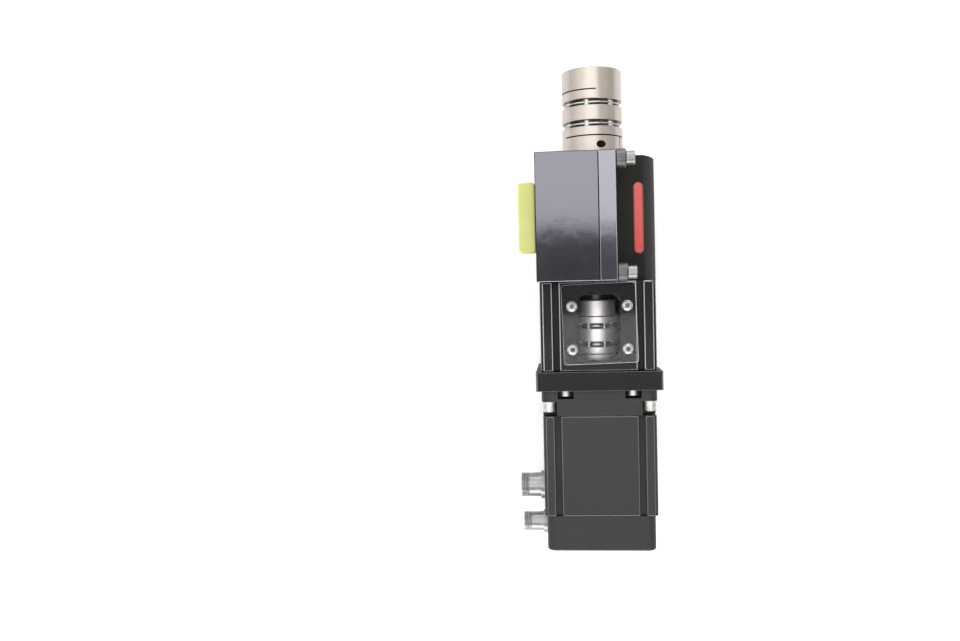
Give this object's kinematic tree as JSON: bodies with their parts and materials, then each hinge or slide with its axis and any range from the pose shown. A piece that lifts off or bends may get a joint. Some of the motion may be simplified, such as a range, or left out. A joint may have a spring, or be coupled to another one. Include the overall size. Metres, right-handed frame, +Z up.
{
  "type": "timing belt pulley drive head",
  "caption": "Belt drive head: a toothed pulley in a split black housing, disc couplings above and below, a windowed lantern, an adapter plate and a square motor.",
  "frame": {"origin": "middle of the housing's flat underside, straight below the middle of the pulley", "axes": "+Y along the shaft from the motor to the cross-shaft coupling, -X towards the rail, +Z up from the underside; the shaft axis is 60 mm above the origin"},
  "size_m": [0.1383, 0.4678, 0.1414],
  "materials": {
    "black_anodised": "satin black anodised, brushed",
    "black_plate": "gloss black anodised",
    "bumper_polyurethane": "translucent yellow-green polyurethane",
    "badge_red": "domed gloss red",
    "clear_plastic": "clear polycarbonate",
    "champagne_anodised": "champagne anodised, turned",
    "bright_steel": "bright zinc or stainless",
    "dark_steel": "blackened, handled",
    "pulley_alloy": "machined",
    "motor_paint": "semi-matt black paint on cast aluminium",
    "connector_metal": "dark plated",
    "lamination": "stacked lamination"
  },
  "bodies": {
    "housing": {"main_block": "black_anodised", "end_cap": "black_anodised", "bumper": "bumper_polyurethane", "badge": "badge_red", "lantern": "black_plate", "adapter_plate": "black_plate", "window_plate": "clear_plastic", "motor_front_cover": "motor_paint", "motor_housing": "motor_paint", "motor_rear_cover": "motor_paint", "motor_stator": "lamination", "power_socket": "connector_metal", "signal_socket": "connector_metal", "screw_collar_1": "dark_steel", "screw_collar_2": "dark_steel", "bearing_outer_upper": "bright_steel", "bearing_outer_lower": "bright_steel", "cap_screw_1": "bright_steel", "cap_screw_2": "bright_steel", "cap_screw_3": "bright_steel", "cap_screw_4": "bright_steel", "window_screw_1": "bright_steel", "window_screw_2": "bright_steel", "window_screw_3": "bright_steel", "window_screw_4": "bright_steel", "plate_screw_1": "bright_steel", "plate_screw_2": "bright_steel", "plate_screw_3": "bright_steel", "plate_screw_4": "bright_steel", "motor_screw_1": "bright_steel", "motor_screw_2": "bright_steel", "motor_screw_3": "bright_steel", "motor_screw_4": "bright_steel"},
    "pulley_shaft": {"pulley": "pulley_alloy", "pulley_rim_upper": "bright_steel", "pulley_rim_lower": "bright_steel", "pulley_shaft": "bright_steel", "shaft_key": "dark_steel", "spacer_sleeve_upper": "dark_steel", "spacer_sleeve_lower": "dark_steel", "bearing_inner_upper": "bright_steel", "bearing_inner_lower": "bright_steel", "ball_cage_upper": "pulley_alloy", "ball_cage_lower": "pulley_alloy", "upper_coupling_near_hub": "champagne_anodised", "upper_coupling_near_clamp_screw": "dark_steel", "lower_coupling_near_hub": "champagne_anodised", "lower_coupling_near_clamp_screw": "dark_steel"},
    "upper_coupling_middle": {"upper_disc_pack_near": "bright_steel", "upper_coupling_centre": "champagne_anodised", "upper_disc_pack_far": "bright_steel"},
    "upper_coupling_end": {"upper_coupling_far_hub": "champagne_anodised", "upper_coupling_far_clamp_screw": "dark_steel"},
    "lower_coupling_middle": {"lower_disc_pack_near": "bright_steel", "lower_coupling_centre": "champagne_anodised", "lower_disc_pack_far": "bright_steel"},
    "motor_shaft": {"motor_rotor": "bright_steel", "lower_coupling_far_hub": "champagne_anodised", "lower_coupling_far_clamp_screw": "dark_steel"}
  },
  "joints": [
    {"name": "pulley_spin", "type": "hinge", "parent": "housing", "child": "pulley_shaft", "pos_m": [0, 0, 0.06], "axis": [0, 1, 0], "continuous": true},
    {"name": "upper_middle_spin", "type": "hinge", "parent": "housing", "child": "upper_coupling_middle", "pos_m": [0, 0.10495, 0.06], "axis": [0, 1, 0], "continuous": true},
    {"name": "upper_end_spin", "type": "hinge", "parent": "housing", "child": "upper_coupling_end", "pos_m": [0, 0.1335, 0.06], "axis": [0, 1, 0], "continuous": true},
    {"name": "lower_middle_spin", "type": "hinge", "parent": "housing", "child": "lower_coupling_middle", "pos_m": [0, -0.113, 0.06], "axis": [0, 1, 0], "continuous": true},
    {"name": "motor_spin", "type": "hinge", "parent": "housing", "child": "motor_shaft", "pos_m": [0, -0.2, 0.06], "axis": [0, 1, 0], "continuous": true}
  ],
  "couplings": [
    {"joint": "upper_middle_spin", "follows": "pulley_spin", "ratio": 1},
    {"joint": "upper_end_spin", "follows": "pulley_spin", "ratio": 1},
    {"joint": "lower_middle_spin", "follows": "pulley_spin", "ratio": 1},
    {"joint": "motor_spin", "follows": "pulley_spin", "ratio": 1}
  ]
}
